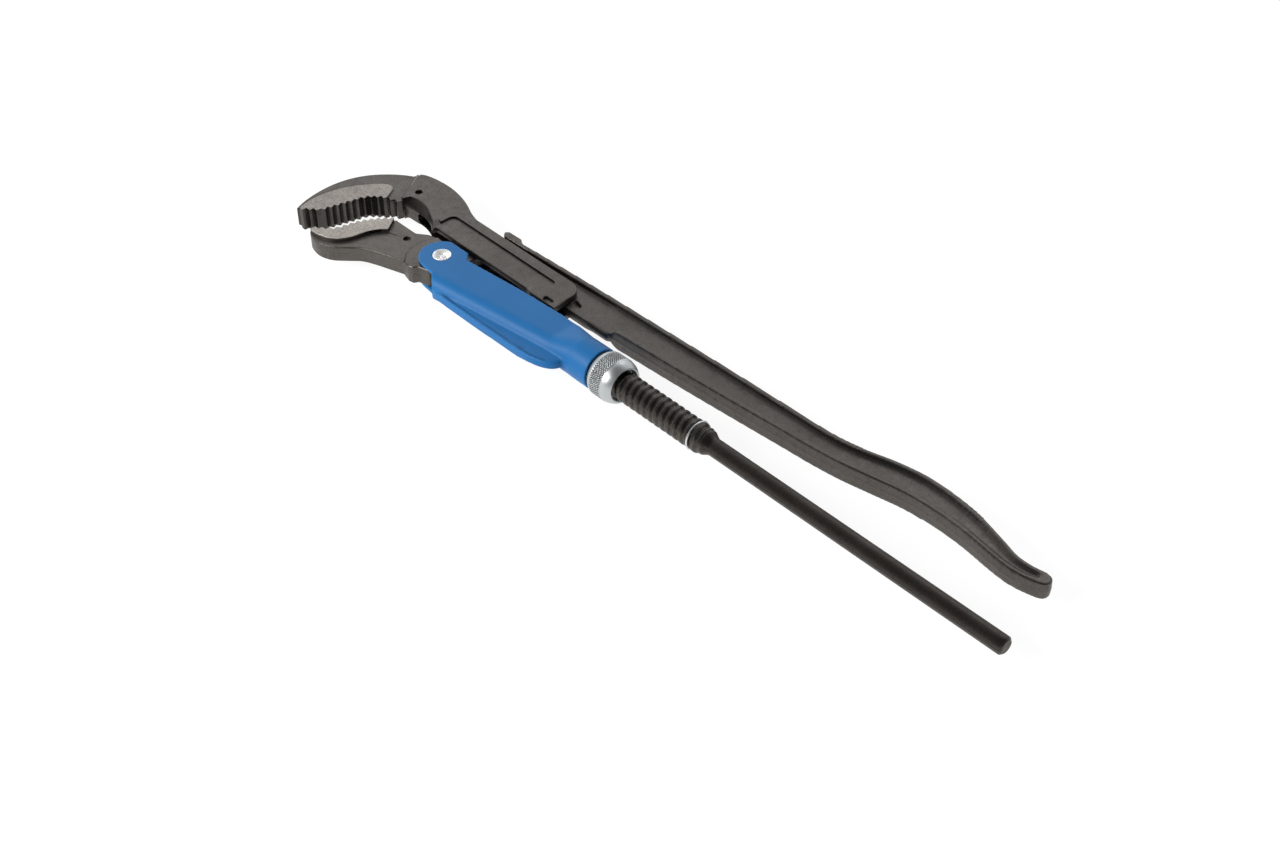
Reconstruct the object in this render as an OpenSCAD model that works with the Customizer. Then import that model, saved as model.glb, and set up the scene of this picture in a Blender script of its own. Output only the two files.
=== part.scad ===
// Pipe wrench, Swedish pattern with an S-shaped mouth.
// Two forged legs cross in the middle. A pressed steel case turns on a rivet in the main leg,
// and the hook leg slides lengthwise through the case, moved by a captive knurled nut.
//
// Every outline is drawn in the tool's own plane: x runs from the pivot along the bar handle,
// y runs from the bar's axis towards the beam handle, and z is 0 at mid-thickness.
// place() then moves the whole tool to its frame.

/* [Bar handle and thread] */
// Diameter of the round bar handle
bar_d = 11; // [10:0.5:12]
// Distance from the pivot to the free end of the bar
bar_end = 446; // [420:1:470]
// Chamfer at the bar's free end
bar_chamfer = 1.3; // [0.5:0.1:2]
// Outside diameter of the thread
thread_d = 18; // [17:0.5:18]
// Pitch of the thread
thread_pitch = 5.1; // [4:0.1:6]
// Depth of the thread
thread_depth = 1.5; // [1:0.1:1.8]
// Where the thread starts, from the pivot
thread_start = 92; // [90:1:94]
// Where the two flats that let the thread into the case end
flat_end = 166; // [160:1:170]
// Where the thread ends, from the pivot
thread_end = 231; // [226:1:233]
// Length of the cone from the thread down to the bar
thread_runout = 5; // [3:0.5:8]

/* [Adjusting nut] */
// Outside diameter over the knurl
nut_d = 28.8; // [28.6:0.1:29.4]
// Where the nut's front face stands
nut_front = 144; // [143.8:0.1:144.6]
// Where the nut's rear face stands
nut_rear = 164; // [162:0.5:166]
// Diameter of the flared mouth at the nut's rear
nut_mouth_d = 20.6; // [20:0.1:22]
// Length of the nut's neck inside the case
nut_neck = 9; // [8:0.5:10]
// Radial clearance of a running fit
running_gap = 0.05; // [0.02:0.01:0.1]

/* [Rings] */
// Wire thickness of the snap ring and of the stop ring
wire_d = 1.3; // [1.2:0.1:1.4]
// Where the snap ring sits
snap_x = 139; // [138:0.5:140]
// Where the stop ring sits
stop_x = 224.5; // [222:0.5:227]

/* [Case] */
// Width of the case over its flat sides
case_w = 18.4; // [18:0.1:19]
// Thickness of the case's sheet
sheet_t = 2.5; // [2:0.1:2.6]
// Wall of the round sleeve
sleeve_wall = 2.2; // [2:0.1:2.4]
// Outside diameter of the round sleeve
sleeve_d = 26.8; // [26.6:0.1:27.4]
// Where the sleeve's round part starts
sleeve_start = 126.5; // [125:0.5:128]
// Where the sleeve ends
sleeve_end = 143.4; // [143:0.1:143.6]
// Radius of the lugs around the pivot
lug_r = 14.8; // [14.4:0.1:15.6]
// Thickness of the folded rib on the spine
rib_t = 6; // [5:0.5:7]

/* [Pivot] */
// Diameter of the rivet's shank
rivet_d = 9; // [8:0.5:9.5]
// Diameter of the rivet's heads
head_d = 12; // [11:0.5:13]
// Depth of the cup in each head
cup_depth = 2.4; // [2:0.1:3]
// How far below the bar's axis the pivot lies
pivot_drop = 3.5; // [3:0.1:4]
// Radius of the pivot eye on the side of the neck
eye_r = 11.5; // [11:0.1:11.5]

/* [Jaws] */
// Width of the toothed faces
tooth_w = 16; // [15:0.5:16.5]
// Distance from tooth to tooth
tooth_pitch = 4.6; // [4.5:0.05:4.7]
// Depth of the teeth
tooth_depth = 2.2; // [1.8:0.1:2.4]
// Number of teeth in the hook jaw
hook_teeth = 15; // [12:1:15]
// Number of teeth in the lower jaw
lower_teeth = 12; // [10:1:12]
// Thickness of the hook jaw behind its teeth
hook_w = 13.6; // [13:0.1:15]
// Thickness of the lower jaw behind its teeth
lower_w = 11; // [10:0.1:12]
// Depth of the round dents in both jaws
dent_depth = 1.9; // [1:0.1:2.2]

/* [Arm and slot] */
// Thickness of the arm over both cheeks
arm_w = 16; // [15:0.5:16.5]
// Width of the slot between the cheeks
slot_w = 7.6; // [7.4:0.1:8]
// Height of the arm's back edge above the bar's axis
arm_top = 38; // [37.5:0.1:38.5]
// Height of the arm's lower edge above the bar's axis
arm_bottom = 14; // [13.5:0.1:14.5]
// Where the arm's rear end stands
arm_end = 88; // [87:0.5:89]
// Depth of the long panel in each cheek
panel_depth = 1.2; // [0.4:0.1:1.4]

/* [Beam handle] */
// Thickness of the tongue and of the beam's web
web_t = 6.6; // [6:0.1:6.8]
// Width of the beam's flanges
flange_w = 13; // [12:0.5:14]
// Thickness of the beam's flanges
flange_t = 3.4; // [3:0.1:4]
// Where the lower flange starts
flange_start = 125; // [122:1:128]

/* [Hidden] */
$fn = 48;
eps = 0.01;

steel = [0.36, 0.34, 0.32];
ground_steel = [0.62, 0.59, 0.56];
case_blue = [0.27, 0.51, 0.72];
zinc = [0.80, 0.80, 0.79];

bar_r = bar_d / 2;
thread_r = thread_d / 2;
nut_r = nut_d / 2;
sleeve_r = sleeve_d / 2;
sleeve_bore_r = sleeve_r - sleeve_wall;
wire_r = wire_d / 2;
groove_half = wire_r + 0.1;
groove_depth = 0.6;
neck_gap = 0.3;
rivet_gap = 0.02;
countersink = 1.5;
head_stand = 0.3;
head_edge = 0.5;
side_r = case_w / 2;
bore_side = side_r - sheet_t;
pivot = [0, -pivot_drop];
rivet_r = rivet_d / 2;
side_gap = 0.35;
eye_w = 2 * (bore_side - side_gap);
dent_r = 2.5;
pocket_depth = 1.7;
chamfer_floor = 4.6;
split_root = 30;
split_arm = -24;

// The tool's extent, which centres it in its frame
back_x = -113.7;
low_y = -49.3;
high_y = 64;

// ---- curves -------------------------------------------------------------------------------

// Points on an arc about c, from angle a0 to a1
function arc(c, r, a0, a1, n = 8) = [for (i = [0 : n]) let (a = a0 + (a1 - a0) * i / n)
    c + r * [cos(a), sin(a)]];

// One point of a Catmull-Rom curve between b and c
function between(a, b, c, d, t) = 0.5 * ((2 * b) + (c - a) * t
    + (2 * a - 5 * b + 4 * c - d) * t * t + (3 * b - a - 3 * c + d) * t * t * t);

// A smooth curve through the points, with n steps from each point to the next
function smooth(p, n = 4) = let (last = len(p) - 1) [
    for (i = [0 : last - 1], k = [0 : n - 1])
        between(p[max(i - 1, 0)], p[i], p[i + 1], p[min(i + 2, last)], k / n),
    p[last]];

function reversed(p) = [for (i = [len(p) - 1 : -1 : 0]) p[i]];

// ---- tooth lines --------------------------------------------------------------------------

// Direction of each tooth step, in degrees, which gives the mouth its S shape
function hook_turn(i) = i < 3 ? 42 : i < 9 ? 75 : max(28, 75 - 11 * (i - 8));
function lower_turn(i) = i < 3 ? 41 : i == 3 ? 55 : i < 7 ? 76 : 76 - 5 * (i - 5);

// The hook's tooth valleys and the lower jaw's tooth crests, walked from the tip inwards
function hook_valley(i) = i == 0 ? [-105, -37]
    : hook_valley(i - 1) + tooth_pitch * [cos(hook_turn(i - 1)), sin(hook_turn(i - 1))];
function lower_crest(i) = i == 0 ? [-84.2, -45]
    : lower_crest(i - 1) + tooth_pitch * [cos(lower_turn(i - 1)), sin(lower_turn(i - 1))];

// Both lines are pushed sideways by the tooth depth halfway along each step
function halfway(a, b, turn) = (a + b) / 2 + tooth_depth * [sin(turn), -cos(turn)];
hook_line = [for (i = [0 : hook_teeth - 1])
    each [hook_valley(i), halfway(hook_valley(i), hook_valley(i + 1), hook_turn(i))],
    hook_valley(hook_teeth)];
lower_line = [for (i = [0 : lower_teeth - 1])
    each [halfway(lower_crest(i), lower_crest(i + 1), lower_turn(i)), lower_crest(i + 1)]];

// ---- outlines -----------------------------------------------------------------------------

throat = smooth([[-67, 18.2], [-62, 17.8], [-55, 18.4], [-48, 18.6], [-42, 17.7], [-37, 16.1], [-32.5, 13.7],
    [-28.5, 10.8]]);
// Upper edge of the wide chamfer between the arm's flat face and the throat
throat_rim = smooth([[-67.3, 19.8], [-64, 23.4], [-56.6, 24.8], [-48.5, 23], [-40.2, 19.5], [-33.7, 15.9],
    [-27.9, 11.6]]);
hook_back = smooth([[-83, 41.5], [-89.5, 37.4], [-97, 31], [-105.6, 20.6], [-111.4, 8], [-113.6, -5],
    [-113, -18], [-110.6, -29.5], [-107.4, -37.6]]);
arm_back = smooth([[-16, arm_top], [split_arm, 40.3], [-32, 43.8], [-40, 46.5], [-50, 48.6],
    [-60, 49.2], [-70, 48.4], [-78, 46.6], [-82, 44.4]]);
seam_low = [-69, 19];

// Thickened part of the hook beside its teeth
hook_flat = concat([for (i = [0 : 26]) hook_line[i]], [[-80.5, 20], [-83, 22]],
    smooth([[-85.5, 22.2], [-90, 19.5], [-96.5, 11.5], [-102, 2.5], [-106.3, -9.5], [-107.9, -23],
    [-106.3, -34.5]]));

// Whole hook jaw up to the arm's cheeks
hook_outline = concat(hook_line, throat, [[-27.5, arm_bottom], [split_arm, arm_bottom]],
    [for (p = arm_back) if (p[0] <= split_arm) p], hook_back);
hook_arm_part = concat([seam_low], throat, [[-27.5, arm_bottom], [split_arm, arm_bottom]],
    [for (p = arm_back) if (p[0] <= split_arm) p]);

// Sloping step from the arm's face down to the thinner hook
seam_high = [[-82.6, 42.8], [-68.4, 20.2], [-66, 22], [-80, 43]];
seam_slope = [[-84.9, 41.4], [-70.7, 18.8], [-66, 22], [-80, 43]];

// Slot in which the main leg's tongue moves, open below and, behind the hook, above
slot_start = [-49.5, 24];
slot_outline = concat([[slot_start[0], -30]], smooth([slot_start, [-44, 28], [-26, 36]]),
    [[split_arm, 37], [split_arm, 70], [arm_end + 20, 70], [arm_end + 20, -30]]);

cheek_outline = concat([[split_arm, arm_bottom], [60, arm_bottom], [63, 13.3], [66, 12.2], [arm_end, 12.2]],
    arc([arm_end - 12, arm_top - 10.5], 10.5, -10, 90, 6),
    [for (p = arm_back) if (p[0] >= split_arm) p]);
panel_outline = concat(arc([-26, 26.5], 4, 180, 90, 4), arc([67, 27.5], 3, 90, 0, 4),
    [[70, 19.5], [-30, 19.5]]);

// Lower jaw
lower_back = smooth([[-82.2, -45], [-79.5, -47.2], [-74, -48.9], [-67, -49.2], [-59, -46.2], [-52, -39.8],
    [-45, -33.2], [-36, -29.1], [-26, -25.7], [-16.4, -22.5]]);
eye_seam = arc(pivot, 23.6, 233.6, 148, 8);
lower_outline = concat(lower_line, [[-53, 2.2], [-34, 2.3], [-27, 7.4]], reversed(eye_seam),
    reversed(lower_back));
lower_flat = concat(lower_line, smooth([[-54, 0.5], [-47.6, -9], [-47.8, -10.6], [-50.5, -14], [-53.5, -20],
    [-55, -27], [-56.5, -33], [-60, -39], [-65, -43], [-72, -45.6], [-78, -46.2], [-81.6, -45.4]]));

// Pivot eye, heel and tongue of the main leg
eye_outline = concat(reversed(eye_seam), [[-9, -23.8], [-5.5, -23], [-4, -20], [4, -18]],
    arc(pivot, eye_r, -35, 75, 6), [[-6, 9], [-14, 8.6]]);
tongue_outline = concat([[-18, 0], [-18, 9], [6.5, 38.5], [6.5, 43.5], [split_root, 43], [split_root, 21.6]],
    smooth([[24, 21.4], [16, 20], [11.4, 14], [10.5, 4]]));
tab_outline = [[4.8, 43.4], [7, 41], [12, 40.6], [split_root, 41], [split_root, 44], [23, 43.6],
    [20.4, 44.6], [18.4, 46.2], [7, 46]];

// Beam handle: its two edges seen from the side, its rounded end and the pocket between its flanges
beam_top = smooth([[split_root, 44], [60, 45.4], [100, 47], [145, 48.4], [200, 50], [250, 51],
    [280, 51.8], [300, 54.9], [320, 60.4], [340, 63.7], [360, 63.3], [380, 60.6], [400, 55], [412, 51.4],
    [422, 51.2], [430, 52.6]], 5);
beam_low = smooth([[flange_start, 24.4], [145, 25.4], [180, 27.2], [220, 29.8], [260, 32.6],
    [280, 33.9], [300, 36.2], [320, 40], [340, 43.8], [360, 44.9], [380, 44], [400, 41.1],
    [412, 39.8], [422, 40.3], [432, 42.6]], 5);
beam_nose = smooth([[430, 52.6], [434.5, 51.6], [436.6, 48], [435.6, 44.6], [432, 42.6]]);
pocket_end = 429;
pocket_turn = pocket_end - 4;
inner_top = [for (p = beam_top) if (p[0] < pocket_turn) p - [0, flange_t]];
inner_low = [for (p = beam_low) if (p[0] < pocket_turn) p + [0, flange_t]];
inner_nose = [[pocket_end, 48.6], [pocket_end + 0.4, 47.4], [pocket_end, 46.2]];
beam_band = concat(beam_top, beam_nose, reversed(beam_low), inner_low, reversed(inner_nose),
    reversed(inner_top));
web_outline = concat(beam_top, beam_nose, reversed(beam_low),
    [[flange_start, 21.8], [split_root, 21.6]]);

// Case: lugs, open top and the rib on the spine
lug_outline = concat([[14.8, 4.6], [10, 9.6], [-5, 9.6]], arc(pivot, lug_r, 116, 264, 12),
    [[4, -18.8], [9.8, -19.6], [15, -14]]);
mouth_outline = [[-30, 60], [-30, 0], [13, 4.4], [62, 9], [112, 11.6], [112, 60]];
front_cut = [[-30, 10], [13.2, 10], [13.2, 0], [9, -14], [9.8, -19.6], [20, -28.5], [20, -40], [-30, -40]];
rib_outline = concat([[19, -24], [19, -26.2]], smooth([[60, -26.4], [100, -25.8], [108, -25], [114.5, -23.4],
    [120, -20.6], [123.4, -16.8], [124, -12.6]]), [[107, -13.4]]);

// ---- helpers ------------------------------------------------------------------------------

module place() {
    translate([-(back_x + bar_end) / 2, -(low_y + high_y) / 2, nut_r])
        children();
}

// A plate with the given outline, centred on mid-thickness
module plate(outline, width) {
    linear_extrude(height = width, center = true)
        polygon(outline);
}

// A solid of revolution about the bar's axis; each point is [distance along x, radius]
module turned(profile, fn = 64) {
    rotate([0, 90, 0])
        rotate_extrude($fn = fn)
            polygon([for (p = profile) [p[1], p[0]]]);
}

// A solid of revolution about the pivot; each point is [radius, height]
module turned_about_pivot(profile) {
    translate([pivot[0], pivot[1], 0])
        rotate_extrude($fn = 64)
            polygon(profile);
}

// A wire ring about the bar's axis
module wire_ring(x, mean_r) {
    translate([x, 0, 0])
        rotate([0, 90, 0])
            rotate_extrude($fn = 64)
                translate([mean_r, 0])
                    circle(r = wire_r, $fn = 24);
}

// Round dent with a flat floor on both faces of a plate
module dents(at, width) {
    for (side = [-1, 1])
        translate([at[0], at[1], side * width / 2])
            cylinder(r = dent_r, h = 2 * dent_depth, center = true);
}

// Oblong pocket in the face at the height given
module oblong(at, length, r, turn, height) {
    translate([at[0], at[1], height])
        rotate(turn)
            linear_extrude(height = 2 * pocket_depth, center = true)
                union() {
                    translate([-length / 2, -r])
                        square([length, 2 * r]);
                    for (x = [-length / 2, length / 2])
                        translate([x, 0])
                            circle(r = r, $fn = 24);
                }
}

// ---- main leg -----------------------------------------------------------------------------

module lower_jaw() {
    color(ground_steel) place() difference() {
        union() {
            plate(lower_outline, lower_w);
            plate(lower_flat, tooth_w);
        }
        dents([-33, -5.7], lower_w);
    }
}

module pivot_eye() {
    color(steel) place() {
        difference() {
            union() {
                plate(eye_outline, eye_w);
                plate(tongue_outline, web_t);
                plate(tab_outline, flange_w);
            }
            translate([pivot[0], pivot[1], 0])
                cylinder(r = rivet_r + running_gap, h = 40, center = true);
        }
    }
}

// The flanges grow narrower from the bend to the rounded end
module flange_taper() {
    half = flange_w / 2;
    rotate([90, 0, 0])
        linear_extrude(height = 200, center = true)
            polygon([[0, -half], [300, -half], [450, -half + 1], [450, half - 1], [300, half], [0, half]]);
}

module beam_handle() {
    color(steel) place() difference() {
        union() {
            plate(web_outline, web_t);
            intersection() {
                plate(beam_band, flange_w);
                flange_taper();
            }
        }
        for (side = [-1, 1])
            oblong([90, 28.8], 4, 1.7, -14, side * web_t / 2);
    }
}

// ---- case ---------------------------------------------------------------------------------

// Section of the case at x: a U with a round bottom of radius r that reaches down to y = low
module u_section(x, low, high, r) {
    translate([x, low + r, 0])
        rotate([0, 90, 0])
            cylinder(r = r, h = 0.5, $fn = 40);
    translate([x, low + r, -r])
        cube([0.5, high - low - r, 2 * r]);
}

module sleeve_disc(x, r) {
    translate([x, 0, 0])
        rotate([0, 90, 0])
            cylinder(r = r, h = 0.5, $fn = 40);
}

// Outside of the case, or with a positive inset the inside of its sheet
module case_form(inset) {
    r = side_r - inset;
    hull() {
        u_section(8, -27.2 + inset, 11.3, r);
        u_section(109, -14.6 + inset, 11.3, r);
    }
    hull() {
        u_section(109, -14.6 + inset, 11.3, r);
        sleeve_disc(sleeve_start, sleeve_r - 0.25 - inset);
    }
}

module case_shell() {
    hole_r = head_d / 2 + rivet_gap;
    shank_r = rivet_r + rivet_gap;
    sink_top = side_r - head_edge;
    bore_start = sleeve_start - 1.7;
    color(case_blue) place() difference() {
        union() {
            difference() {
                union() {
                    case_form(0);
                    plate(rib_outline, rib_t);
                }
                case_form(sheet_t);
                translate([-20, 0, -bore_side])
                    cube([132, 30, 2 * bore_side]);
                plate(mouth_outline, 60);
                plate(front_cut, 60);
            }
            for (side = [-1, 1])
                translate([0, 0, side * (bore_side + sheet_t / 2)])
                    plate(lug_outline, sheet_t);
            turned([[sleeve_start - 1, sleeve_bore_r], [sleeve_start - 1, sleeve_r - 0.6],
                [sleeve_start + 1.5, sleeve_r], [sleeve_end, sleeve_r], [sleeve_end, sleeve_bore_r]]);
        }
        // exact bores: the sleeve, the snap ring's groove and the countersunk rivet holes
        turned([[bore_start, 0], [bore_start, sleeve_bore_r], [sleeve_end + 1, sleeve_bore_r],
            [sleeve_end + 1, 0]]);
        turned([[snap_x - groove_half, 0], [snap_x - groove_half, sleeve_bore_r + groove_depth],
            [snap_x + groove_half, sleeve_bore_r + groove_depth], [snap_x + groove_half, 0]]);
        turned_about_pivot([[0, -20], [hole_r, -20], [hole_r, -sink_top], [shank_r, countersink - sink_top],
            [shank_r, sink_top - countersink], [hole_r, sink_top], [hole_r, 20], [0, 20]]);
    }
}

module pivot_rivet() {
    head_r = head_d / 2;
    top = side_r + head_stand;
    sink_top = side_r - head_edge;
    cup = top - cup_depth;
    half = [[rivet_r, sink_top - countersink], [head_r, sink_top], [head_r, top - head_edge], [head_r - 1, top],
        [2, cup], [1.2, cup + 0.6], [0, cup + 0.9]];
    mirrored = [for (p = reversed(half)) [p[0], -p[1]]];
    color(zinc) place() turned_about_pivot(concat(mirrored, half));
}

module nut_snap_ring() {
    color(zinc) place() wire_ring(snap_x, sleeve_bore_r - neck_gap / 2);
}

// ---- hook leg -----------------------------------------------------------------------------

// Wedge cut away between the arm's face and the throat; side is 1 or -1
module throat_chamfer(side) {
    reach = [[-28, 5], [-67, 5]];
    hull() {
        translate([0, 0, side * chamfer_floor])
            plate(concat(throat, reach), eps);
        translate([0, 0, side * (arm_w / 2 + eps)])
            plate(concat(throat_rim, reach), eps);
    }
}

module hook_jaw() {
    color(ground_steel) place() difference() {
        union() {
            plate(hook_outline, hook_w);
            plate(hook_flat, tooth_w);
            plate(hook_arm_part, arm_w);
            intersection() {
                plate(hook_outline, arm_w);
                hull() {
                    plate(seam_high, arm_w);
                    plate(seam_slope, hook_w);
                }
            }
        }
        plate(slot_outline, slot_w);
        // the slot's round end
        translate([slot_start[0], slot_start[1], 0])
            rotate([90, 0, 0])
                cylinder(r = slot_w / 2, h = 54);
        for (side = [-1, 1]) {
            throat_chamfer(side);
            translate([0, 0, side * arm_w / 2])
                plate(panel_outline, 2 * panel_depth);
        }
        dents([-66, 30.2], arm_w);
    }
}

// One cheek of the arm; side is 1 for the front and -1 for the rear
module cheek(side) {
    cheek_t = (arm_w - slot_w) / 2;
    color(steel) place() difference() {
        translate([0, 0, side * (slot_w + cheek_t) / 2])
            plate(cheek_outline, cheek_t);
        translate([0, 0, side * arm_w / 2])
            plate(panel_outline, 2 * panel_depth);
        oblong([79, 15.4], 4, 1.8, 0, side * arm_w / 2);
    }
}

module front_cheek() cheek(1);

module rear_cheek() cheek(-1);

module shank_neck() {
    low = -5.4;
    color(steel) place() {
        plate([[71, 12.2], [arm_end, 12.2], [thread_start, 9], [thread_start, low], [74, low], [71, -3]],
            eye_w);
        plate([[71, 12.2], [71, 14], [72.5, 15.2], [arm_end, 15.2], [arm_end, 12.2]], slot_w);
    }
}

module threaded_shank() {
    root_r = thread_r - thread_depth;
    flat_l = flat_end - thread_start + 1;
    groove_r = thread_r - 0.9;
    count = floor((thread_end - thread_start) / thread_pitch);
    p = thread_pitch;
    ridges = [for (i = [0 : count - 1]) let (x = thread_start + i * p)
        each [[x + 0.12 * p, root_r], [x + 0.38 * p, thread_r], [x + 0.62 * p, thread_r],
            [x + 0.88 * p, root_r]]];
    color(steel) place() difference() {
        turned(concat([[thread_start, 0], [thread_start, root_r]], ridges,
            [[thread_end, root_r], [thread_end + thread_runout, bar_r], [thread_end + thread_runout, 0]]));
        turned([[stop_x - wire_r, groove_r], [stop_x - wire_r, thread_r + 1],
            [stop_x + wire_r, thread_r + 1], [stop_x + wire_r, groove_r]]);
        for (side = [-1, 1])
            translate([thread_start - 1, -thread_d, side * (eye_w / 2 + 5) - 5])
                cube([flat_l, 2 * thread_d, 10]);
    }
}

module stop_ring() {
    color(zinc) place() wire_ring(stop_x, thread_r);
}

module bar_handle() {
    start = thread_end + thread_runout;
    color(steel) place() turned([[start, 0], [start, bar_r], [bar_end - bar_chamfer, bar_r],
        [bar_end, bar_r - bar_chamfer], [bar_end, 0]]);
}

// ---- nut ----------------------------------------------------------------------------------

module adjusting_nut() {
    bore_r = thread_r + running_gap;
    neck_r = sleeve_bore_r - neck_gap;
    groove_r = neck_r - groove_depth;
    neck_front = nut_front - nut_neck;
    color(zinc) place() turned([
        [neck_front, bore_r], [neck_front, neck_r - 0.5], [neck_front + 0.5, neck_r],
        [snap_x - groove_half, neck_r], [snap_x - groove_half, groove_r],
        [snap_x + groove_half, groove_r], [snap_x + groove_half, neck_r], [nut_front, neck_r],
        [nut_front, nut_r - 0.9], [nut_front + 1.6, nut_r], [nut_rear - 7, nut_r],
        [nut_rear - 2.6, nut_r - 0.9], [nut_rear, nut_r - 2.4], [nut_rear, nut_mouth_d / 2],
        [nut_rear - 3, bore_r]]);
}

lower_jaw();
pivot_eye();
beam_handle();
case_shell();
pivot_rivet();
nut_snap_ring();
hook_jaw();
front_cheek();
rear_cheek();
shank_neck();
threaded_shank();
stop_ring();
bar_handle();
adjusting_nut();
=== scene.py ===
import math

import bmesh
import bpy
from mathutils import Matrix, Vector
from mathutils.bvhtree import BVHTree


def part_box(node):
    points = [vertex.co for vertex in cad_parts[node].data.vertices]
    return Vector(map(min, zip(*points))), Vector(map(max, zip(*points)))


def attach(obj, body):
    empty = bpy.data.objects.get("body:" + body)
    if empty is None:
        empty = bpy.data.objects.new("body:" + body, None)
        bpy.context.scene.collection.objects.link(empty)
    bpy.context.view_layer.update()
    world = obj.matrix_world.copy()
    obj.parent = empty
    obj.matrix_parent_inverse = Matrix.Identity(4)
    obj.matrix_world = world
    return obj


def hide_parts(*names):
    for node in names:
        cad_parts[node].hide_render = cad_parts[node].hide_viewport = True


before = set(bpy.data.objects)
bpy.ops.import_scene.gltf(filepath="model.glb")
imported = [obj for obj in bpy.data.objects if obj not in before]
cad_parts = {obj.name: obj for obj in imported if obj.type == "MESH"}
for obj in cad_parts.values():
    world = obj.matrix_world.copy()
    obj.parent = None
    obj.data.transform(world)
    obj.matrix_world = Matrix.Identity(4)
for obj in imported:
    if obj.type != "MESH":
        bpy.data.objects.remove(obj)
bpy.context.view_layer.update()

MM = 0.001
scene = bpy.context.scene

# ---- the tool's own axes: x along the bar from the pivot, y towards the beam, z across ------
# Lengths are in millimetres unless a comment says otherwise.
BAR_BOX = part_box("bar_handle")
RIVET_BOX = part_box("pivot_rivet")
ORIGIN = Vector((
    (RIVET_BOX[0].x + RIVET_BOX[1].x) / 2,
    (BAR_BOX[0].y + BAR_BOX[1].y) / 2,
    (BAR_BOX[0].z + BAR_BOX[1].z) / 2,
))


def at(x, y, z):
    """A point given in the tool's axes, in the row frame in metres."""
    return ORIGIN + Vector((x, y, z)) * MM


def to_tool(point):
    """A point of the row frame, in the tool's axes."""
    return (Vector(point) - ORIGIN) / MM


def smooth_step(t):
    """0 up to t = 0, 1 from t = 1, and an S-curve between."""
    t = max(0.0, min(1.0, t))
    return t * t * (3 - 2 * t)


# ---- camera ---------------------------------------------------------------------------------
CAMERA_PLACE = (802.33, -588.30, 722.89)
CAMERA_DIP, CAMERA_TURN = 40.99, 46.746  # degrees
CAMERA_LENS = 54.49


def make_camera():
    cam_data = bpy.data.cameras.new("camera")
    cam_data.sensor_width = 36
    cam_data.lens = CAMERA_LENS
    cam_data.clip_start = 0.01
    cam_data.clip_end = 20
    cam = bpy.data.objects.new("camera", cam_data)
    cam.location = at(*CAMERA_PLACE)
    cam.rotation_euler = (math.radians(90 - CAMERA_DIP), 0, math.radians(CAMERA_TURN))
    bpy.context.scene.collection.objects.link(cam)
    bpy.context.scene.camera = cam


make_camera()


# ---- shader helpers -------------------------------------------------------------------------
def node(tree, kind, **settings):
    made = tree.nodes.new(kind)
    for key, value in settings.items():
        setattr(made, key, value)
    return made


def noise_node(tree, coords, scale, detail=4.0, rough=0.6, distortion=0.0):
    tex = node(tree, "ShaderNodeTexNoise")
    tex.inputs["Scale"].default_value = scale
    tex.inputs["Detail"].default_value = detail
    tex.inputs["Roughness"].default_value = rough
    tex.inputs["Distortion"].default_value = distortion
    tree.links.new(coords, tex.inputs["Vector"])
    return tex.outputs["Fac"]


def ramp(tree, fac, stops):
    """A colour ramp; each stop is (place, grey level or colour)."""
    made = node(tree, "ShaderNodeValToRGB")
    elements = made.color_ramp.elements
    while len(elements) < len(stops):
        elements.new(0.5)
    for element, (place, value) in zip(elements, stops):
        element.position = place
        grey = isinstance(value, (int, float))
        element.color = (value, value, value, 1) if grey else (*value, 1)
    tree.links.new(fac, made.inputs["Fac"])
    return made.outputs["Color"]


def mix_color(tree, fac, a, b, blend="MIX"):
    made = node(tree, "ShaderNodeMix", data_type="RGBA", blend_type=blend)
    # inputs 0, 6 and 7 are the factor and the two colours
    for socket, value in ((made.inputs[0], fac), (made.inputs[6], a), (made.inputs[7], b)):
        if isinstance(value, bpy.types.NodeSocket):
            tree.links.new(value, socket)
        elif isinstance(value, (int, float)):
            socket.default_value = value
        else:
            socket.default_value = (*value, 1)
    return made.outputs[2]


def math_node(tree, op, a, b=0.0):
    made = node(tree, "ShaderNodeMath", operation=op)
    for socket, value in zip(made.inputs, (a, b)):
        if isinstance(value, bpy.types.NodeSocket):
            tree.links.new(value, socket)
        else:
            socket.default_value = value
    return made.outputs[0]


def smooth_range(tree, value, source, target):
    """Maps the value smoothly from the source range to the target range."""
    made = node(tree, "ShaderNodeMapRange", interpolation_type="SMOOTHSTEP")
    for name, number in zip(("From Min", "From Max", "To Min", "To Max"), (*source, *target)):
        made.inputs[name].default_value = number
    tree.links.new(value, made.inputs["Value"])
    return made.outputs[0]


def mesh_value(tree, name):
    """A value that the mesh holds for each vertex, such as its wear."""
    return node(tree, "ShaderNodeAttribute", attribute_name=name).outputs["Fac"]


# ---- stage and light ------------------------------------------------------------------------
scene.view_settings.view_transform = "Standard"
scene.view_settings.look = "None"
scene.view_settings.exposure = 0.0

# A fixed direction of the studio, from the tool to the photographer.
TO_CAMERA = (0.549, -0.517, 0.656)
FLOOR_SIZE = 6.0  # metres
FLOOR_LIGHT = 0.91


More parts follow.
